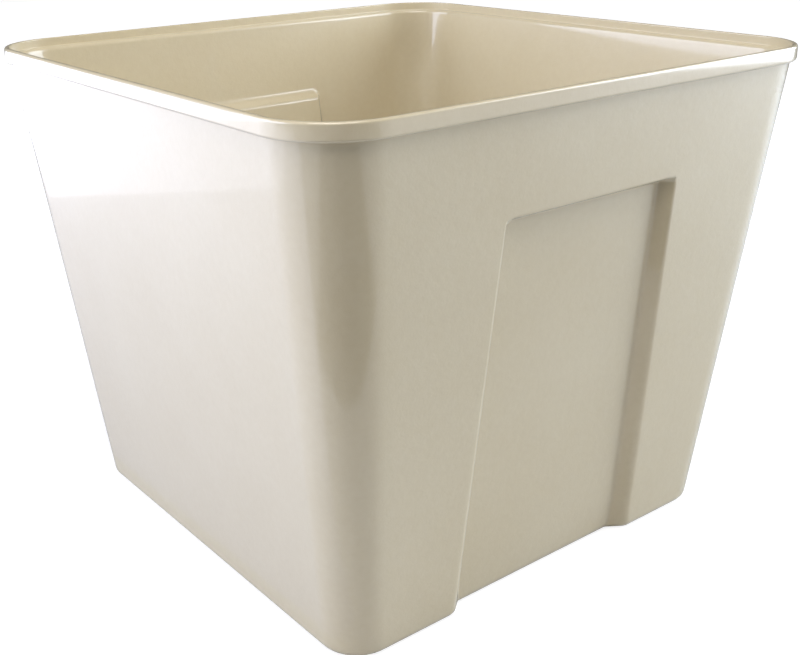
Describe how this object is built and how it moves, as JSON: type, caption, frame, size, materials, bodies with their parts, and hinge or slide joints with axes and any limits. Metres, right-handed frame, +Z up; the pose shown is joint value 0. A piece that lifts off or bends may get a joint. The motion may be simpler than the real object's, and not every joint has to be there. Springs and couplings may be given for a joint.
{
  "type": "cheese mould",
  "caption": "Square tapered cheese mould with rounded corners, a stepped rim and two inset wall panels, holding a lift-out perforated drain plate and a pressing follower with grips.",
  "frame": {"origin": "middle of the flat face the tub stands on", "axes": "+Z up out of the open mouth, the two inset wall panels on the -Y and +Y walls"},
  "size_m": [0.304, 0.304, 0.25],
  "materials": {
    "tub_plastic": "satin moulded polypropylene with a fine grain",
    "plate_plastic": "satin food-grade polyethylene",
    "grip_plastic": "satin food-grade polyethylene"
  },
  "bodies": {
    "tub": {"mould_body": "tub_plastic"},
    "drain_plate": {"drain_plate": "plate_plastic"},
    "follower": {"follower": "plate_plastic", "front_grip": "grip_plastic", "rear_grip": "grip_plastic"}
  },
  "joints": [
    {"name": "drain_plate_lift", "type": "slide", "parent": "tub", "child": "drain_plate", "axis": [0, 0, 1], "range_m": [0, 0.26]},
    {"name": "follower_lift", "type": "slide", "parent": "drain_plate", "child": "follower", "axis": [0, 0, 1], "range_m": [0, 0.14]}
  ]
}
